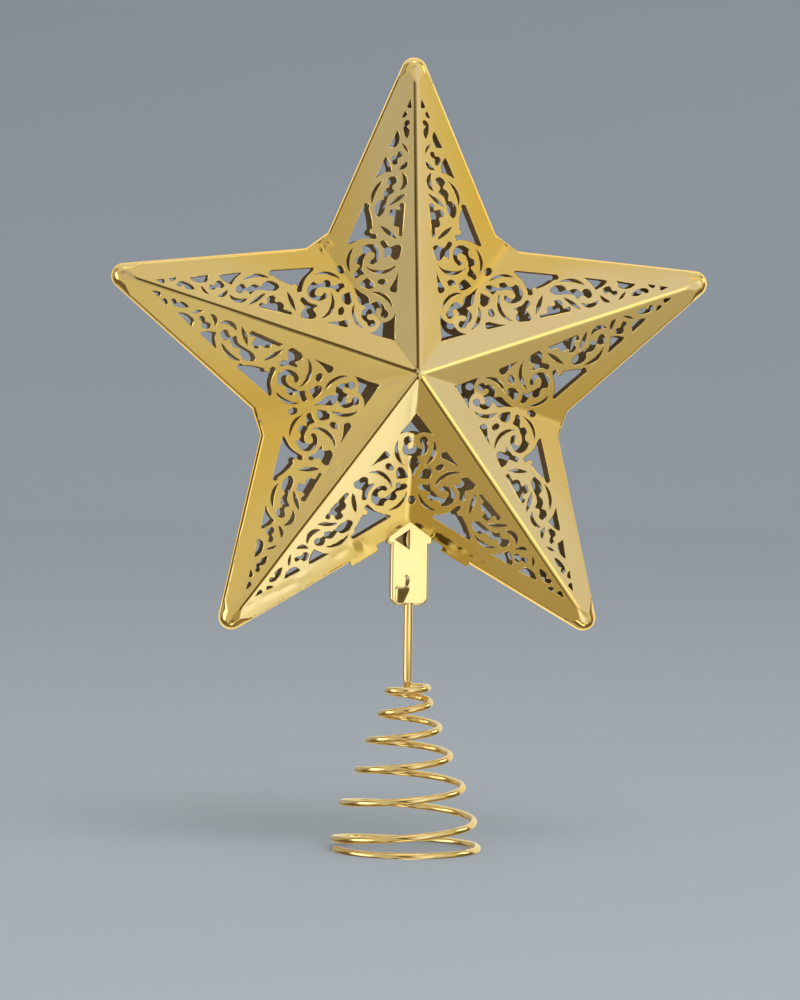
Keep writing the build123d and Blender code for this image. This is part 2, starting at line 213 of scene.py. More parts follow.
shellForm = {
    "centreHeight": 160.6 * mm,
    "tipReach": 111.0 * mm,
    "cornerReach": 51.2 * mm,
    "tipRadius": 3.8 * mm,
    "flat": 0.6,  # degrees between faces that count as one facet
    "sharp": 40.0,
    "facing": 0.5,  # a face that looks outwards this much belongs to a facet
    "sideways": 0.3,  # and one that looks outwards less than this to a wall
    "rimRound": 0.5 * mm,
    "holeRound": 0.32 * mm,
    "roundSteps": 2,
    "footShare": 0.45,  # the most of a wall's height that its rounding takes
    "cornerStretch": 1.6,  # how much farther than its round a border may step back at a corner
    "backTries": 5,
    "flangeOver": 1.2 * mm,  # a wall taller than this is the flange, not the side of a cut-out
    "seam": 0.5 * mm,  # nearer the seam than this a face shows outside
    "bow": 0.30 * mm,  # how far the middle of a facet swells
    "bowStep": 5.0 * mm,
    "bowReach": 31.5 * mm,
    "rowsAlong": (10.0 * mm, 90.0 * mm, 8.0 * mm),  # start, end and step
    "facetFrom": 2.9 * mm,  # farther from the seam than this the sheet bends
    "tipStart": 97.0 * mm,
    "tipStep": 0.5 * mm,
    "tipHalf": 6.0 * mm,
    "tipRoll": 2.4 * mm,  # the sheet rolls over at the end of an arm
    "rollShare": 0.8,
    "ridgeRound": 1.3 * mm,  # half the width of the rounded ridge
    "tipSoft": 3.0 * mm,  # the ridge gets this much wider over the nose of an arm
    "noseLength": 6.0 * mm,
    "valleyRound": 2.2 * mm,
    "valleyStart": 14.0 * mm,  # from here outwards the valley has its full width
    "ripple": 0.07 * mm,
    "foldLimit": 30.0,  # degrees that a small face may lean from the true surface, on a fold
    "facetLimit": 8.0,  # and elsewhere
    "sameSide": 50.0,
    "paintedSheenFrom": 0.3,  # shares of the way from a ridge to an inner corner, over which the painted sheen gives way to the painted shade
    "paintedSheenTo": 0.8,
}
# Where the front sheet got crumpled: a box from left bottom to right top, the net cut into it, the turn of
# its dents in degrees, and each dent's place, half length, half width and depth, all in mm
crumpled = [
    {"box": (-0.5, 93.0, 31.0, 115.0), "net": 0.7, "turn": -30.6, "dents": [
        (3.0, 107.7, 3.0, 1.7, 0.42), (7.3, 107.0, 0.9, 2.2, -0.22), (9.6, 107.4, 1.2, 0.9, -0.09),
        (12.6, 102.5, 4.0, 1.8, 0.46), (17.4, 101.0, 1.5, 1.0, 0.14), (20.8, 98.7, 2.0, 0.9, 0.13),
        (25.0, 96.6, 2.4, 1.0, 0.10)]},
    {"box": (-30.5, 96.0, -0.5, 113.5), "net": 0.8, "turn": 30.6, "dents": [
        (-4.0, 107.7, 3.0, 1.6, 0.30), (-16.0, 103.4, 1.6, 2.4, 0.26), (-19.4, 102.0, 1.0, 2.0, -0.13),
        (-24.0, 100.2, 2.6, 1.2, 0.12)]},
    {"box": (-59.0, 79.0, -30.0, 98.0), "net": 0.8, "turn": 30.6, "dents": [
        (-36.5, 92.3, 2.6, 0.9, -0.08), (-41.6, 88.9, 3.6, 1.0, 0.11), (-47.6, 86.3, 2.6, 1.1, 0.11),
        (-54.0, 82.6, 1.6, 0.8, 0.07)]},
    {"box": (-31.5, 125.5, -23.0, 134.0), "net": 0.6, "turn": 55.0, "dents": [
        (-27.0, 130.6, 1.8, 0.8, 0.08), (-28.7, 128.9, 1.6, 0.7, -0.06), (-26.1, 128.3, 1.6, 0.7, 0.07)]},
    {"box": (-33.0, 198.0, -26.0, 206.0), "net": 0.45, "turn": 126.0, "dents": [
        (-29.4, 201.2, 1.6, 0.7, 0.28), (-31.0, 202.4, 1.1, 0.6, -0.22), (-28.0, 203.4, 1.4, 0.7, 0.24),
        (-31.2, 200.2, 1.2, 0.6, 0.20)]},
]
armAngles = [math.radians(90 + 72 * i) for i in range(5)]
halfSector = math.radians(36)
shellCentre = Vector((0, 0, shellForm["centreHeight"]))
cornerAlong = shellForm["cornerReach"] * math.cos(halfSector)
cornerAcross = shellForm["cornerReach"] * math.sin(halfSector)
edgeAngle = math.atan2(cornerAcross, shellForm["tipReach"] - cornerAlong)
tipCentre = shellForm["tipReach"] - shellForm["tipRadius"] / math.sin(edgeAngle)
tipFromValley = shellForm["tipReach"] * math.sin(halfSector)


@cache
def armDirections(angle):
    along = Vector((math.cos(angle), 0, math.sin(angle)))
    across = Vector((-math.sin(angle), 0, math.cos(angle)))
    return along, across


def armOf(point):
    angle = math.atan2(point.z - shellCentre.z, point.x)
    return min(armAngles, key=lambda arm: -math.cos(arm - angle))


def onArm(point):
    along, across = armDirections(armOf(point))
    return (point - shellCentre).dot(along), abs((point - shellCentre).dot(across))


def facetKey(point):
    arm = armOf(point)
    return arm, (point - shellCentre).dot(armDirections(arm)[1]) > 0


def isFacet(face, outwards):
    return face.normal.y * outwards > shellForm["facing"]


def easeInOut(share):
    share = min(max(share, 0.0), 1.0)
    return share * share * (3 - 2 * share)


def insideRim(along, across):
    # distance to the rim near an arm's end
    edge = (shellForm["tipReach"] - along) * math.sin(edgeAngle) - across * math.cos(edgeAngle)
    reach = math.hypot(along - tipCentre, across)
    beyond = (along - tipCentre) * math.cos(edgeAngle) > across * math.sin(edgeAngle)
    return shellForm["tipRadius"] - reach if beyond else edge


def withParts(faces):
    edges = {e for f in faces for e in f.edges}
    verts = {v for f in faces for v in f.verts}
    return list(verts) + list(edges) + list(faces)


def cutRows(bm, geom, direction, places, start=shellCentre):
    for place in places:
        geom = bmesh.ops.bisect_plane(
            bm, geom=geom, dist=0.001 * mm, plane_co=start + direction * place, plane_no=direction,
        )["geom"]
    return geom


def steps(start, end, step):
    count = math.ceil((end - start) / step)
    return [start + (end - start) * i / count for i in range(count + 1)]


def facesByArm(faces):
    groups = {angle: [] for angle in armAngles}
    for face in faces:
        groups[armOf(face.calc_center_median())].append(face)
    return groups


def cutNet(bm, patch):
    left, bottom, right, top = (v * mm for v in patch["box"])
    faces = []
    for face in bm.faces:
        xs, zs = [v.co.x for v in face.verts], [v.co.z for v in face.verts]
        overlaps = min(xs) < right and max(xs) > left and min(zs) < top and max(zs) > bottom
        if overlaps and isFacet(face, -1):
            faces.append(face)
    middle = shellCentre.z
    geom = cutRows(bm, withParts(faces), Vector((1, 0, 0)), steps(left, right, patch["net"] * mm))
    cutRows(bm, geom, Vector((0, 0, 1)), steps(bottom - middle, top - middle, patch["net"] * mm))


# Rows of cuts along each arm, and a fine net at its end, give the sheet points to bend at.
def cutForBending(bm, outwards):
    form = shellForm
    ridge = steps(-form["ridgeRound"], form["ridgeRound"], form["ridgeRound"] / 3)
    wide = steps(-form["bowReach"], form["bowReach"], form["bowStep"])
    rows = ridge + [place for place in wide if abs(place) > form["bowStep"] / 2]
    valley = steps(-form["valleyRound"], form["valleyRound"], form["valleyRound"] / 3)
    for angle in armAngles:
        along, across = armDirections(angle + halfSector)
        faces = []
        for face in bm.faces:
            middle = face.calc_center_median() - shellCentre
            inSector = middle.dot(along) > middle.xz.length * math.cos(halfSector)
            if inSector and isFacet(face, outwards):
                faces.append(face)
        cutRows(bm, withParts(faces), across, valley)
    for angle, faces in facesByArm([f for f in bm.faces if isFacet(f, outwards)]).items():
        along, across = armDirections(angle)
        geom = cutRows(bm, withParts(faces), along, steps(*form["rowsAlong"]))
        cutRows(bm, geom, across, rows)
    for angle, faces in facesByArm(bm.faces).items():
        along = armDirections(angle)[0]
        faces = [f for f in faces if max((v.co - shellCentre).dot(along) for v in f.verts) > form["tipStart"]]
        cutRows(bm, withParts(faces), along, [form["tipStart"]])
    if outwards < 0:
        for patch in crumpled:
            cutNet(bm, patch)
    tipEnd = tipCentre + form["tipRadius"]
    for angle, faces in facesByArm(bm.faces).items():
        along, across = armDirections(angle)
        faces = [f for f in faces if (f.calc_center_median() - shellCentre).dot(along) > form["tipStart"]]
        geom = cutRows(bm, withParts(faces), along, steps(form["tipStart"], tipEnd, form["tipStep"])[1:])
        cutRows(bm, geom, across, steps(-form["tipHalf"], form["tipHalf"], form["tipStep"]))


def eased(distance, width):
    # leaves zero without a kink, then grows evenly
    return distance - width / 2 if distance > width else distance * distance / (2 * width)


def swell(along, across):
    # each half arm is a triangle of centre, tip and corner; it swells in the middle and not along its sides
    form = shellForm
    corner = across / cornerAcross
    tip = (along - corner * cornerAlong) / form["tipReach"]
    centre = 1 - corner - tip
    corner = eased(across, form["ridgeRound"]) / cornerAcross
    tip = eased(max(tip, 0.0) * tipFromValley, form["valleyRound"]) / tipFromValley
    return form["bow"] * 27 * corner * tip * max(centre, 0.0)  # the three shares multiply to 1/27 at most


def rollOver(along, across):
    form = shellForm
    if along < form["tipStart"]:
        return 0.0
    roll = form["tipRoll"] * easeInOut((along - form["tipStart"]) / (tipCentre - form["tipStart"]))
    room = min(max(insideRim(along, across), 0.0), roll)
    return roll - math.sqrt(max(roll * roll - (roll - room) ** 2, 0.0))


def ripple(point):
    # the slow unevenness of thin pressed sheet
    x, z = point.x / mm, point.z / mm
    waves = (x / 5.1 + z / 9.7, x / 7.3 - z / 4.4 + 1.3, x / 12.1 + z / 6.3 + 2.6)
    return shellForm["ripple"] * sum(math.sin(wave) for wave in waves) / 2


def ridgeWidth(along):
    share = (along - shellForm["tipStart"]) / shellForm["noseLength"]
    return shellForm["ridgeRound"] + shellForm["tipSoft"] * easeInOut(share)


def softRidge(along, across, key, slopes):
    width = ridgeWidth(along)
    fall = abs(slopes[key].dot(armDirections(key[0])[1]))
    return fall * (width - across) ** 2 / (2 * width) if across < width else 0.0


def fromValley(point, key):
    # how far a point lies along the valley beside its facet, the way out of it, and how far that is
    along, across = armDirections(key[0] + (halfSector if key[1] else -halfSector))
    out = -across if key[1] else across
    return (point - shellCentre).dot(along), out, (point - shellCentre).dot(out)


def softValley(point, key, slopes):
    along, out, away = fromValley(point, key)
    width = shellForm["valleyRound"] * min(max(along / shellForm["valleyStart"], 0.02), 1.0)
    return slopes[key].dot(out) * (width - away) ** 2 / (2 * width) if away < width else 0.0


def dentAt(point, outwards):
    deep = 0.0
    if outwards < 0:
        x, z = point.x / mm, point.z / mm
        for patch in crumpled:
            left, bottom, right, top = patch["box"]
            if left < x < right and bottom < z < top:
                turn = math.radians(patch["turn"])
                for dentX, dentZ, length, width, depth in patch["dents"]:
                    along = (x - dentX) * math.cos(turn) + (z - dentZ) * math.sin(turn)
                    across = (z - dentZ) * math.cos(turn) - (x - dentX) * math.sin(turn)
                    deep += depth * mm * math.exp(-((along / length) ** 2) - (across / width) ** 2)
    return deep


def onFacet(point, key):
    along, across = armDirections(key[0])
    away = (point - shellCentre).dot(across)
    return (point - shellCentre).dot(along), away if key[1] else -away


def liftAt(point, key, slopes, outwards):
    along, across = onFacet(point, key)
    gain = swell(along, max(across, 0.0)) + ripple(point) + softValley(point, key, slopes)
    return gain - softRidge(along, across, key, slopes) - dentAt(point, outwards)


def bendSheet(bm, slopes, outwards):
    for vert in bm.verts:
        along, across = onArm(vert.co)
        side = 1 if vert.co.y > 0 else -1
        lift = 0.0
        if abs(vert.co.y) > shellForm["facetFrom"]:
            lift = liftAt(vert.co, facetKey(vert.co), slopes, outwards)
        tall = max(abs(vert.co.y) - shellForm["seam"], 0.0)
        vert.co.y += side * (lift - min(rollOver(along, across), tall * shellForm["rollShare"]))


def facetSlopes(bm, outwards):
    total = {}
    for face in bm.faces:
        if isFacet(face, outwards):
            key = facetKey(face.calc_center_median())
            total[key] = total.get(key, Vector()) + face.normal * face.calc_area()
    return {key: -normal / abs(normal.y) for key, normal in total.items()}


# The true normal of the bent facet at a point, so that its reflections run smoothly between the cut-outs
def facetNormal(point, key, slopes, outwards):
    along, across = armDirections(key[0])
    across = across if key[1] else -across
    tiny = 0.05 * mm

    def lift(away):
        s, t = onFacet(point + away, key)
        return liftAt(point + away, key, slopes, outwards) - rollOver(s, abs(t))

    climb = (lift(along * tiny) - lift(along * -tiny)) / (2 * tiny)
    spread = (lift(across * tiny) - lift(across * -tiny)) / (2 * tiny)
    slope = slopes[key] + along * climb + across * spread
    return Vector((-slope.x, outwards, -slope.z)).normalized()


def loopNormals(bm, slopes, outwards, curved):
    form = shellForm
    near = math.cos(math.radians(form["sameSide"]))
    known, bent = {}, {}
    for face in bm.faces:
        if isFacet(face, outwards) and not any(v in curved for v in face.verts):
            centre = face.calc_center_median()
            key = facetKey(centre)
            along, across = onFacet(centre, key)
            onFold = across < ridgeWidth(along) or dentAt(centre, outwards) != 0
            nearValley = fromValley(centre, key)[2] < form["valleyRound"]
            limit = math.radians(form["foldLimit"] if onFold or nearValley else form["facetLimit"])
            if face.normal.dot(facetNormal(centre, key, slopes, outwards)) > math.cos(limit):
                for vert in face.verts:
                    if (vert, key) not in known:
                        known[(vert, key)] = facetNormal(vert.co, key, slopes, outwards)
                    bent[(face, vert)] = known[(vert, key)]
    normals = []
    for face in bm.faces:
        for vert in face.verts:
            normal = bent.get((face, vert))
            if normal is None and vert in curved and curved[vert].dot(face.normal) > near:
                normal = curved[vert]
            if normal is None:
                around = [f for f in vert.link_faces if f.normal.dot(face.normal) > near]
                facets = [bent[(f, vert)] for f in around if (f, vert) in bent]
                if facets:
                    normal = facets[0]
                else:
                    normal = sum((f.normal * f.calc_area() for f in around), Vector()).normalized()
            normals.append(normal)
    return normals


def outerEdges(bm, outwards):
    found = []
    for edge in bm.edges:
        if len(edge.link_faces) == 2 and edge.calc_face_angle(0) > math.radians(shellForm["sharp"]):
            facets = [f for f in edge.link_faces if isFacet(f, outwards)]
            walls = [f for f in edge.link_faces if abs(f.normal.y) < shellForm["sideways"]]
            if len(facets) == 1 and len(walls) == 1:
                found.append(edge)
    return found


# Moves the facet's border back, and less where the border would cross itself.
def stepBack(bm, backs):
    for vert, back in backs.items():
        vert.co += back
    for _ in range(shellForm["backTries"]):
        covered = {}  # a face that crosses itself has more area in its triangles than in its outline
        for a, b, c in bm.calc_loop_triangles():
            area = (b.vert.co - a.vert.co).cross(c.vert.co - a.vert.co).length / 2
            covered[a.face] = covered.get(a.face, 0.0) + area
        bm.normal_update()
        crossed = {v for f, area in covered.items() if area > 1.003 * f.calc_area() for v in f.verts}
        for vert in crossed.intersection(backs):
            backs[vert] = backs[vert] * 0.5
            vert.co -= backs[vert]


def roundSize(tall):
    return shellForm["rimRound"] if tall > shellForm["flangeOver"] else shellForm["holeRound"]


# Rounds the outer edges of the sheet: the facet's border steps back, the wall's steps down, and a strip
# of faces on a curve joins the two. Returns the curve's normals by vertex.
def roundEdges(bm, outwards, slopes):
    form = shellForm
    tall = {}
    for edge in outerEdges(bm, outwards):
        wall = min(edge.link_faces, key=lambda f: abs(f.normal.y))
        for vert in edge.verts:
            place = vert.co.to_tuple()
            tall[place] = max(tall.get(place, 0.0), heightOf(wall))
    bmesh.ops.split_edges(bm, edges=outerEdges(bm, outwards))
    wallVert = {}
    border = []
    for edge in bm.edges:
        if len(edge.link_faces) == 1:
            if isFacet(edge.link_faces[0], outwards):
                border.append(edge.link_loops[0])
            else:
                for vert in edge.verts:
                    wallVert[vert.co.to_tuple()] = vert
    pairs = [(loop.vert, loop.link_loop_next.vert) for loop in border]
    onward = dict(pairs)
    backward = {second: first for first, second in pairs}
    corners = {v: v.co.copy() for v in onward if v in backward and v.co.to_tuple() in wallVert}
    flats, inwardsOf, backs = {}, {}, {}
    for vert, place in corners.items():
        flat = facetNormal(place, facetKey(place), slopes, outwards)
        before = flat.cross((place - backward[vert].co).normalized())
        after = flat.cross((onward[vert].co - place).normalized())
        inwards = before + after
        if inwards.length < 0.05:
            inwards = backward[vert].co - place
        inwards.normalize()
        flats[vert], inwardsOf[vert] = flat, inwards
        stretch = min(1 / max(inwards.dot(after), 0.1), form["cornerStretch"])
        backs[vert] = inwards * roundSize(tall[place.to_tuple()]) * stretch
    stepBack(bm, backs)
    down = Vector((0, -outwards, 0))
    columns, normals = {}, {}
    for vert, place in corners.items():
        lower = wallVert[place.to_tuple()]
        inwards = inwardsOf[vert]
        wallHeight = tall[place.to_tuple()]
        foot = down * min(roundSize(wallHeight), form["footShare"] * wallHeight)
        columns[vert] = [vert]
        for i in range(1, form["roundSteps"]):
            u = i / form["roundSteps"]
            made = bm.verts.new(place + backs[vert] * (1 - u) ** 2 + foot * u * u)
            normals[made] = (flats[vert] * (1 - u) - inwards * u).normalized()
            columns[vert].append(made)
        normals[lower] = (-inwards - down * down.dot(-inwards)).normalized()
        columns[vert].append(lower)
        lower.co = place + foot
    for first, second in pairs:
        if first in columns and second in columns:
            left, right = columns[first], columns[second]
            for i in range(form["roundSteps"]):
                bm.faces.new((right[i], left[i], left[i + 1], right[i + 1]))
    return normals


# The share of the paler gold at each point, a painted sheen: all along the ridges, and none at the inner
# corners, which keep the painted shade
def markPaintedSheen(piece):
    layer = piece.data.attributes.new("paintedSheen", "FLOAT", "POINT")
    start, end = shellForm["paintedSheenFrom"], shellForm["paintedSheenTo"]
    for vert in piece.data.vertices:
        share = onArm(vert.co)[1] / cornerAcross
        layer.data[vert.index].value = 1 - easeInOut((share - start) / (end - start))


def makeShell(node, front):
    form = shellForm
    bm = copyOfNode(node)
    bmesh.ops.dissolve_limit(
        bm, angle_limit=math.radians(form["flat"]), verts=bm.verts, edges=bm.edges, delimit={"NORMAL"}
    )
    outwards = -1 if front else 1
    slopes = facetSlopes(bm, outwards)
    cutForBending(bm, outwards)
    bendSheet(bm, slopes, outwards)
    bm.normal_update()
    curved = roundEdges(bm, outwards, slopes)
    bm.normal_update()
    # faces turned into the hollow take the inside gold, whose dark colour is painted shade
    for face in bm.faces:
        middle = face.calc_center_median() - shellCentre
        turnedIn = face.normal.x * middle.x + face.normal.z * middle.z < 0
        facesBack = face.normal.y * outwards < -form["sideways"] and abs(middle.y) > form["seam"]
        inner = facesBack or (turnedIn and heightOf(face) > form["flangeOver"])
        face.material_index = 1 if inner else 0
    smoothUpTo(bm, form["sharp"])
    normals = loopNormals(bm, slopes, outwards, curved)
    materials = [polishedStarGold, unpolishedGoldWithPaintedShade]
    piece = addPiece(node.replace("_", "-") + "-sheet", bm, "star", node, materials)
    piece.data.normals_split_custom_set(normals)
    # painted sheen along the ridges, painted shade at the inner corners
    markPaintedSheen(piece)


makeShell("front_shell", True)
makeShell("back_shell", False)

leafForm = {
    "flat": 0.6,
    "sharp": 35.0,
    "edgeOver": 60.0,  # degrees from which an edge is rounded
    "level": 0.99,  # a face that looks outwards this much is the leaf's flat
    "onFlat": 0.9,
    "sideways": 0.3,
    "close": 0.05 * mm,
    "edgeRound": 0.12 * mm,
    "sideRound": 0.42 * mm,
    "depth": 2.3 * mm,
    "net": 0.3 * mm,
    "netBox": ((-6.0 * mm, 83.2 * mm), (3.0 * mm, 95.0 * mm)),  # left bottom and right top
}
# Marks in the front leaf where it was crimped on the stem: centre, half sizes, depth, squareness, how flat
# the bottom is, and how much deeper the mark gets towards its left and its top
crimpMarks = [
    {"at": (-2.35 * mm, 86.2 * mm), "half": (2.35 * mm, 2.8 * mm), "depth": 0.22 * mm, "square": 6,
     "flatness": 0.35, "lean": (0.13, 0.06)},
    {"at": (-1.05 * mm, 90.8 * mm), "half": (0.95 * mm, 2.0 * mm), "depth": 0.20 * mm, "square": 2,
     "flatness": 0.6, "lean": (0.14, 0.06)},
]


def pressMarks(bm):
    form = leafForm
    (left, bottom), (right, top) = form["netBox"]
    flats = [f for f in bm.faces if f.normal.y < -form["level"]]
    outer = [f for f in flats if abs(f.calc_center_median().y + form["depth"]) < form["close"]]
    geom = cutRows(bm, withParts(outer), Vector((1, 0, 0)), steps(left, right, form["net"]), Vector())
    geom = cutRows(bm, geom, Vector((0, 0, 1)), steps(bottom, top, form["net"]), Vector())
    for vert in {v for v in geom if isinstance(v, bmesh.types.BMVert)}:
        for mark in crimpMarks:
            x = (vert.co.x - mark["at"][0]) / mark["half"][0]
            z = (vert.co.z - mark["at"][1]) / mark["half"][1]
            reach = abs(x) ** mark["square"] + abs(z) ** mark["square"]
            if reach < 1:
                fall = (1 - reach) ** mark["flatness"]
                leftwards = mark["at"][0] - vert.co.x
                upwards = vert.co.z - mark["at"][1]
                lean = mark["lean"][0] * leftwards + mark["lean"][1] * upwards
                vert.co.y += fall * max(mark["depth"] + lean, 0.0)


def makeLeaf(node, front):
    form = leafForm
    bm = copyOfNode(node)
    bmesh.ops.dissolve_limit(
        bm, angle_limit=math.radians(form["flat"]), verts=bm.verts, edges=bm.edges, delimit={"NORMAL"}
    )
    if front:
        pressMarks(bm)
        bm.normal_update()
    outwards = -1 if front else 1
    for onSide, size in ((True, form["sideRound"]), (False, form["edgeRound"])):
        edges = []
        for edge in bm.edges:
            angle = edge.calc_face_angle(0) if len(edge.link_faces) == 2 else 0
            if edge.is_convex and angle > math.radians(form["edgeOver"]):
                side, flat = sorted(edge.link_faces, key=lambda f: f.normal.y * outwards)
                isTall = heightOf(side) > 2 * form["sideRound"]
                if (isTall and flat.normal.y * outwards > form["onFlat"]) == onSide:
                    edges.append(edge)
        bmesh.ops.bevel(
            bm, geom=edges, offset=size, offset_type="OFFSET", affect="EDGES", segments=3,
            profile=0.5, material=-1, clamp_overlap=False, loop_slide=False,
        )
        bm.normal_update()
    bmesh.ops.dissolve_degenerate(bm, dist=0.002 * mm, edges=bm.edges)
    bm.normal_update()
    # faces turned in between the leaves take the inside gold, whose dark colour is painted shade
    for face in bm.faces:
        face.material_index = 1 if face.normal.y * outwards < -form["sideways"] else 0
    smoothUpTo(bm, form["sharp"])
    materials = [paleBracketGold, unpolishedGoldWithPaintedShade]
    piece = addPiece(node.replace("_", "-") + "-pressing", bm, "star", node, materials)
    weighted = piece.modifiers.new("facetNormals", "WEIGHTED_NORMAL")
    weighted.keep_sharp = True
    weighted.weight = 100


makeLeaf("bracket_front_leaf", True)
makeLeaf("bracket_back_leaf", False)

tubeForm = {
    "outside": 1.5 * mm,
    "bore": 1.25 * mm,
    "foot": 57.3 * mm,
    "top": 112.1 * mm,
    "endRound": 0.12 * mm,
    "steps": 48,
    "sharp": 50.0,
}


def makeTube():
    form = tubeForm
    bm = bmesh.new()
    corners = [(form["bore"], form["foot"]), (form["outside"], form["foot"]),
               (form["outside"], form["top"]), (form["bore"], form["top"])]
    profile = [bm.verts.new((x, 0, z)) for x, z in corners]
    for a, b in zip(profile, profile[1:] + profile[:1]):
        bm.edges.new((a, b))
    bmesh.ops.bevel(
        bm, geom=profile, offset=form["endRound"], offset_type="OFFSET", affect="VERTICES", segments=3,
        profile=0.5, material=-1, clamp_overlap=True,
    )
    bmesh.ops.spin(
        bm, geom=bm.verts[:] + bm.edges[:], cent=(0, 0, 0), axis=(0, 0, 1), dvec=(0, 0, 0),
        angle=2 * math.pi, steps=form["steps"], use_merge=True, use_normal_flip=False, use_duplicate=False,
    )
    bmesh.ops.remove_doubles(bm, verts=bm.verts, dist=0.0001 * mm)
    bmesh.ops.recalc_face_normals(bm, faces=bm.faces)
    smoothUpTo(bm, form["sharp"])
    addPiece("stem-sleeve", bm, "stem", "stem_tube", [brightWireGold])


makeTube()

coilForm = {
    "wire": 2.4 * mm,
    "flat": 0.5 * mm,
    # of the wire's centre, on the left of each turn
    "radii": [6.4 * mm, 8.7 * mm, 12.7 * mm, 16.2 * mm, 21.4 * mm, 24.2 * mm],
    "perTurn": 24,
    "bendParts": 3,
    "halfParts": 8,
    "topPitch": 7.3 * mm,
    "turnGap": 0.7 * mm,
    "endShare": 0.02,
    "tubeFoot": 57.3 * mm,
    "tailInsert": 25.0 * mm,
    "endGap": 0.1 * mm,
    "straight": 4.0 * mm,  # of the tail, above its bend
    "bend": 2.6 * mm,
    "loopDrop": 0.8 * mm,
    "loopLean": 0.7 * mm,
    "sharp": 45.0,
}


def coilPoints(form):
    baseHeight = form["wire"] / 2 - form["flat"]
    tailFoot = form["tubeFoot"] - form["endGap"]
    loopHeight = tailFoot - form["bend"]
    coneTop = loopHeight - form["loopDrop"]
    coneFoot = baseHeight + form["wire"] + form["turnGap"]
    radii = form["radii"]
    turns = len(radii) - 1
    pitchGain = 2 * (coneTop - coneFoot - form["topPitch"] * turns) / turns**2
    side = radii[0] + form["loopLean"]
    bend = form["bend"]
    tail = (form["tailInsert"], form["straight"], 0)
    points = [Vector((0, 0, tailFoot + height)) for height in tail]
    for i in range(1, form["bendParts"] + 1):  # the tail turns back into the first loop
        angle = math.pi / 2 * i / form["bendParts"]
        points.append(Vector((0, bend * (1 - math.cos(angle)), tailFoot - bend * math.sin(angle))))
    middle = Vector((side / 2, bend, loopHeight))
    for i in range(1, form["halfParts"]):  # half round to the right, behind the stem
        angle = math.pi - math.pi * i / form["halfParts"]
        points.append(middle + Vector((side / 2 * math.cos(angle), side / 2 * math.sin(angle), 0)))
    points.append(Vector((side, bend, loopHeight)))
    for i in range(1, form["halfParts"]):  # in front of the stem, to the left
        share = i / form["halfParts"]
        angle = -math.pi * share
        radius = radii[0] + form["loopLean"] * (1 - share)
        behind = bend * (1 - share) ** 2
        height = loopHeight - form["loopDrop"] * share**2
        points.append(Vector((radius * math.cos(angle), radius * math.sin(angle) + behind, height)))
    count = round((turns + 1) * form["perTurn"])
    for i in range(count + 1):
        turn = min(i / form["perTurn"], turns + 1 - form["endShare"])
        whole = min(int(turn), turns - 1)
        share = min(turn - whole, 1)
        radius = radii[whole] * (1 - share) + radii[whole + 1] * share
        height = max(baseHeight, coneTop - form["topPitch"] * turn - pitchGain * turn**2 / 2)
        angle = math.pi - 2 * math.pi * turn
        points.append(Vector((radius * math.cos(angle), radius * math.sin(angle), height)))
    return points


def makeCoil():
    form = coilForm
    points = coilPoints(form)
    curve = bpy.data.curves.new("coilLine", "CURVE")
    curve.dimensions = "3D"
    curve.resolution_u = 3
    curve.bevel_depth = form["wire"] / 2
    curve.bevel_resolution = 6
    curve.use_fill_caps = True
    line = curve.splines.new("BEZIER")
    line.bezier_points.add(len(points) - 1)
    for knot, point in zip(line.bezier_points, points):
        knot.co = point
        knot.handle_left_type = knot.handle_right_type = "AUTO"
    holder = bpy.data.objects.new("coilLine", curve)
    bpy.context.scene.collection.objects.link(holder)
    bpy.context.view_layer.update()
    tube = bpy.data.meshes.new_from_object(holder.evaluated_get(bpy.context.evaluated_depsgraph_get()))
    bpy.data.objects.remove(holder)
    bm = bmesh.new()
    bm.from_mesh(tube)
    bmesh.ops.remove_doubles(bm, verts=bm.verts, dist=0.001 * mm)
    bmesh.ops.bisect_plane(
        bm, geom=bm.verts[:] + bm.edges[:] + bm.faces[:], dist=0.0001 * mm, plane_co=(0, 0, 0),
        plane_no=(0, 0, -1), clear_outer=True,
    )
    bmesh.ops.holes_fill(bm, edges=[e for e in bm.edges if e.is_boundary], sides=0)
    bmesh.ops.recalc_face_normals(bm, faces=bm.faces)
    smoothUpTo(bm, form["sharp"])
    addPiece("tree-coil-wire", bm, "coil", "tree_coil", [brightWireGold])


makeCoil()

# Pale floor, and a round backdrop that only the camera sees, so that the room's light comes past it
stageLook = {
    "colour": (0.34, 0.38, 0.43),
    "floorRadius": 2.6,
    "wallRadius": 3.4,
    "wallHeight": 4.0,
    "cove": 0.75,  # the round between the backdrop's foot and its wall
    "coveSteps": 16,
    "sides": 96,
    "grain": 3.0,
    "grainShade": 0.985,
}


def stagePiece(name, profile, colour):
    bm = bmesh.new()
    line = [bm.verts.new((x, 0, z)) for x, z in profile]
    for a, b in zip(line, line[1:]):
        bm.edges.new((a, b))
    if len(line) == 3:
        bmesh.ops.bevel(
            bm, geom=[line[1]], offset=stageLook["cove"], offset_type="OFFSET", affect="VERTICES",
            segments=stageLook["coveSteps"], profile=0.5, material=-1,
        )
    bmesh.ops.spin(
        bm, geom=bm.verts[:] + bm.edges[:], cent=(0, 0, 0), axis=(0, 0, 1), dvec=(0, 0, 0),
        angle=2 * math.pi, steps=stageLook["sides"], use_merge=True, use_normal_flip=False,
        use_duplicate=False,
    )
    bmesh.ops.remove_doubles(bm, verts=bm.verts, dist=0.1 * mm)
    for face in bm.faces:
        face.smooth = True
        if face.normal.z < 0 or face.normal.dot(face.calc_center_median()) > 0 and abs(face.normal.z) < 0.5:
            face.normal_flip()
    mesh = bpy.data.meshes.new(name)
    bm.to_mesh(mesh)
    bm.free()
    piece = bpy.data.objects.new(name, mesh)
    bpy.context.scene.collection.objects.link(piece)
    mesh.materials.append(colour)
    return piece


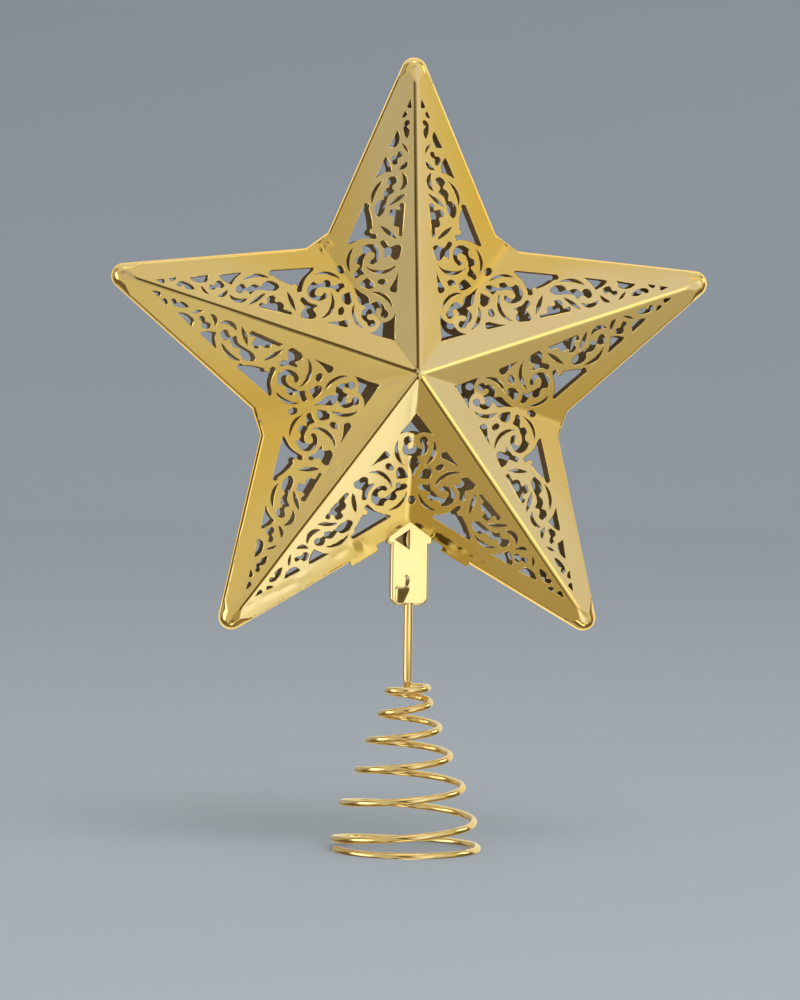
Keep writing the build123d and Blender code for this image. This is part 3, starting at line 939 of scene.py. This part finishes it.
def makeStage():
    look = stageLook
    paper, tree = newTree("palePaper")
    grain = noise(tree, tree.node("ShaderNodeTexCoord", output=3), look["grain"])
    low = tuple(c * look["grainShade"] for c in look["colour"])
    colour = mixColour(tree, grain, (*low, 1), (*look["colour"], 1))
    surface = tree.node("ShaderNodeBsdfDiffuse", None, {"Color": colour})
    tree.node("ShaderNodeOutputMaterial", None, {"Surface": surface})
    floor = stagePiece("floor", [(0, 0), (look["floorRadius"], 0)], paper)
    floor.visible_glossy = False
    wall = [(look["floorRadius"], 0), (look["wallRadius"], 0), (look["wallRadius"], look["wallHeight"])]
    backdrop = stagePiece("backdrop", wall, paper)
    backdrop.visible_diffuse = False
    backdrop.visible_glossy = False
    backdrop.visible_shadow = False


makeStage()
print("stage: set")

overheadBox = {
    "place": (0.3, -0.9, 1.6),
    "target": (0, -0.2, 0),
    "size": (1.2, 1.2),
    "power": 16,
    "colour": (1.0, 0.98, 0.95),
}


def makeLamp():
    form = overheadBox
    lamp = bpy.data.lights.new("overheadBox", "AREA")
    lamp.shape = "RECTANGLE"
    lamp.size, lamp.size_y = form["size"]
    lamp.energy = form["power"]
    lamp.color = form["colour"]
    holder = bpy.data.objects.new("overheadBox", lamp)
    holder.location = form["place"]
    aim = Vector(form["target"]) - Vector(form["place"])
    holder.rotation_euler = aim.to_track_quat("-Z", "Y").to_euler()
    holder.visible_camera = False
    holder.visible_glossy = False
    bpy.context.scene.collection.objects.link(holder)


makeLamp()

# The room that the gold reflects: soft cards of light, each with its middle (azimuth, elevation),
# half width and edge in degrees, and its brightness. A later card lies over an earlier one.
roomLight = {
    "walls": (0.17, 0.14, 0.09),
    "cards": [
        {"at": (0, 75), "half": 38, "edge": 16, "light": (0.70, 0.71, 0.73)},
        {"at": (-66, 8), "half": 34, "edge": 12, "light": (0.68, 0.67, 0.53)},
        {"at": (72, 10), "half": 30, "edge": 12, "light": (0.70, 0.67, 0.40)},
        {"at": (-2, -38), "half": 34, "edge": 12, "light": (0.65, 0.64, 0.55)},
        {"at": (150, 12), "half": 26, "edge": 14, "light": (0.92, 0.88, 0.70)},
        {"at": (-145, 20), "half": 24, "edge": 14, "light": (0.46, 0.46, 0.44)},
        {"at": (178, -38), "half": 24, "edge": 14, "light": (0.48, 0.44, 0.31)},
        {"at": (180, 55), "half": 26, "edge": 14, "light": (0.78, 0.80, 0.80)},
        {"at": (-75, -6), "half": 14, "edge": 10, "light": (1.85, 1.85, 2.00)},
        {"at": (90, -7), "half": 11, "edge": 6, "light": (0.20, 0.15, 0.07)},
        {"at": (30, 10), "half": 14, "edge": 14, "light": (0.76, 0.78, 0.96)},
        {"at": (35, 6), "half": 4, "edge": 10, "light": (1.05, 1.15, 1.45)},
        {"at": (54, 0), "half": 8, "edge": 10, "light": (0.72, 0.77, 1.01)},
        {"at": (40, -7), "half": 4, "edge": 9, "light": (1.00, 1.12, 1.60)},
        {"at": (-38, 27), "half": 9, "edge": 9, "light": (0.52, 0.55, 0.68)},
        {"at": (-26, 2), "half": 8, "edge": 10, "light": (0.59, 0.60, 0.62)},
        {"at": (-30, -23), "half": 6, "edge": 11, "light": (0.64, 0.64, 0.54)},
        {"at": (42, -13), "half": 9, "edge": 9, "light": (0.76, 0.80, 0.95)},
        {"at": (22, 36), "half": 8, "edge": 10, "light": (0.74, 0.80, 1.12)},
        {"at": (49, 40), "half": 8, "edge": 9, "light": (0.95, 0.90, 0.62)},
        {"at": (33, -48), "half": 10, "edge": 12, "light": (0.80, 0.84, 0.92)},
        {"at": (28, -35.5), "half": 4, "edge": 9, "light": (1.08, 1.22, 1.60)},
        {"at": (54, -28), "half": 8, "edge": 10, "light": (0.49, 0.49, 0.45)},
        {"at": (-6, -44), "half": 11, "edge": 12, "light": (0.43, 0.39, 0.26)},
        {"at": (13, -2), "half": 8, "edge": 6, "light": (1.30, 1.24, 1.10)},
        {"at": (28, -6), "half": 6, "edge": 6, "light": (1.65, 1.60, 1.30)},
        {"at": (-9, -1), "half": 6, "edge": 4, "light": (0.12, 0.10, 0.05)},
        {"at": (-12, 17), "half": 7, "edge": 4, "light": (0.08, 0.065, 0.04)},
        {"at": (2, -25), "half": 7, "edge": 4, "light": (0.10, 0.08, 0.045)},
        {"at": (-24, -61), "half": 7, "edge": 4, "light": (0.06, 0.05, 0.03)},
        {"at": (53, -57), "half": 6, "edge": 5, "light": (0.10, 0.08, 0.05)},
        {"at": (-88, 12), "half": 7, "edge": 8, "light": (3.0, 2.9, 2.6)},
        {"at": (98, 22), "half": 7, "edge": 8, "light": (3.0, 2.9, 2.6)},
        {"at": (10, 83), "half": 9, "edge": 9, "light": (1.7, 1.65, 1.5)},
        {"at": (4, -70), "half": 6, "edge": 8, "light": (2.2, 2.1, 1.9)},
    ],
}


def makeRoom():
    world = bpy.data.worlds.new("softRoom")
    world.use_nodes = True
    world.node_tree.nodes.clear()
    tree = Sock(world.node_tree)
    looking = tree.node("ShaderNodeTexCoord", output=0)
    light = (*roomLight["walls"], 1)
    for card in roomLight["cards"]:
        turn, rise = (math.radians(v) for v in card["at"])
        middle = (math.sin(turn) * math.cos(rise), -math.cos(turn) * math.cos(rise), math.sin(rise))
        nearness = tree.node("ShaderNodeVectorMath", {"operation": "DOT_PRODUCT"}, {0: looking, 1: middle}, 1)
        outer = math.cos(math.radians(card["half"] + card["edge"]))
        inner = math.cos(math.radians(card["half"]))
        share = tree.node("ShaderNodeMapRange", {"interpolation_type": "SMOOTHSTEP"}, {
            "Value": nearness, "From Min": outer, "From Max": inner})
        light = mixColour(tree, share, light, (*card["light"], 1))
    shine = tree.node("ShaderNodeBackground", None, {"Color": light, "Strength": 1.0})
    tree.node("ShaderNodeOutputWorld", None, {"Surface": shine})
    bpy.context.scene.world = world


makeRoom()
print("light: set")

cameraPlace = {
    "azimuth": -7.0,
    "distance": 1.26,
    "height": 0.160,
    "aim": (-0.0032, 0.0, 0.118),
    "lens": 135.0,
    "sensor": 36.0,
    "roll": 0.65,
}


def makeCamera():
    place = cameraPlace
    data = bpy.data.cameras.new("camera")
    data.lens = place["lens"]
    data.sensor_width = place["sensor"]
    camera = bpy.data.objects.new("camera", data)
    turn = math.radians(place["azimuth"])
    aim = Vector(place["aim"])
    back = Vector((math.sin(turn), -math.cos(turn), 0)) * place["distance"]
    camera.location = Vector((aim.x, aim.y, place["height"])) + back
    facing = (aim - camera.location).to_track_quat("-Z", "Y").to_matrix()
    camera.rotation_euler = (facing @ Matrix.Rotation(math.radians(place["roll"]), 3, "Z")).to_euler()
    bpy.context.scene.collection.objects.link(camera)
    bpy.context.scene.camera = camera


makeCamera()
bpy.context.scene.view_settings.view_transform = "Standard"
print("camera: set")
